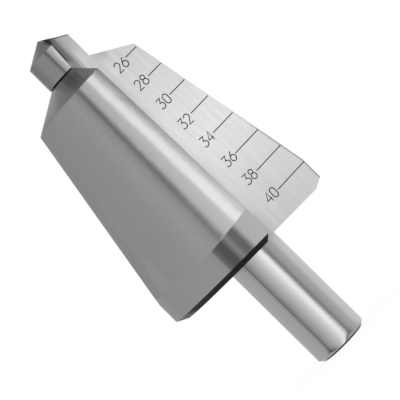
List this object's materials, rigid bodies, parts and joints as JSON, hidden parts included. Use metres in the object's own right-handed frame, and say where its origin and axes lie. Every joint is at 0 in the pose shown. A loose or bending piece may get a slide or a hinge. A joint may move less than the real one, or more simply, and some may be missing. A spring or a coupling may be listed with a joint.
{
  "type": "conical sheet drill",
  "caption": "One-piece conical drill for thin sheet and tube: long fluted steel cone with a size scale, short pilot point and three-flat round shank.",
  "frame": {"origin": "centre of the shank's end face, which the drill stands on", "axes": "+Z along the drill's axis, from the shank to the point; the flute that carries the scale opens towards +X, and its flat floor faces -Y"},
  "size_m": [0.0402, 0.0402, 0.0845],
  "materials": {
    "ground_steel": "bright fine-ground high-speed steel, plain, with circular grinding marks on the cone and lengthwise marks in the flutes"
  },
  "bodies": {
    "root": {"cone_drill": "ground_steel"}
  },
  "joints": []
}
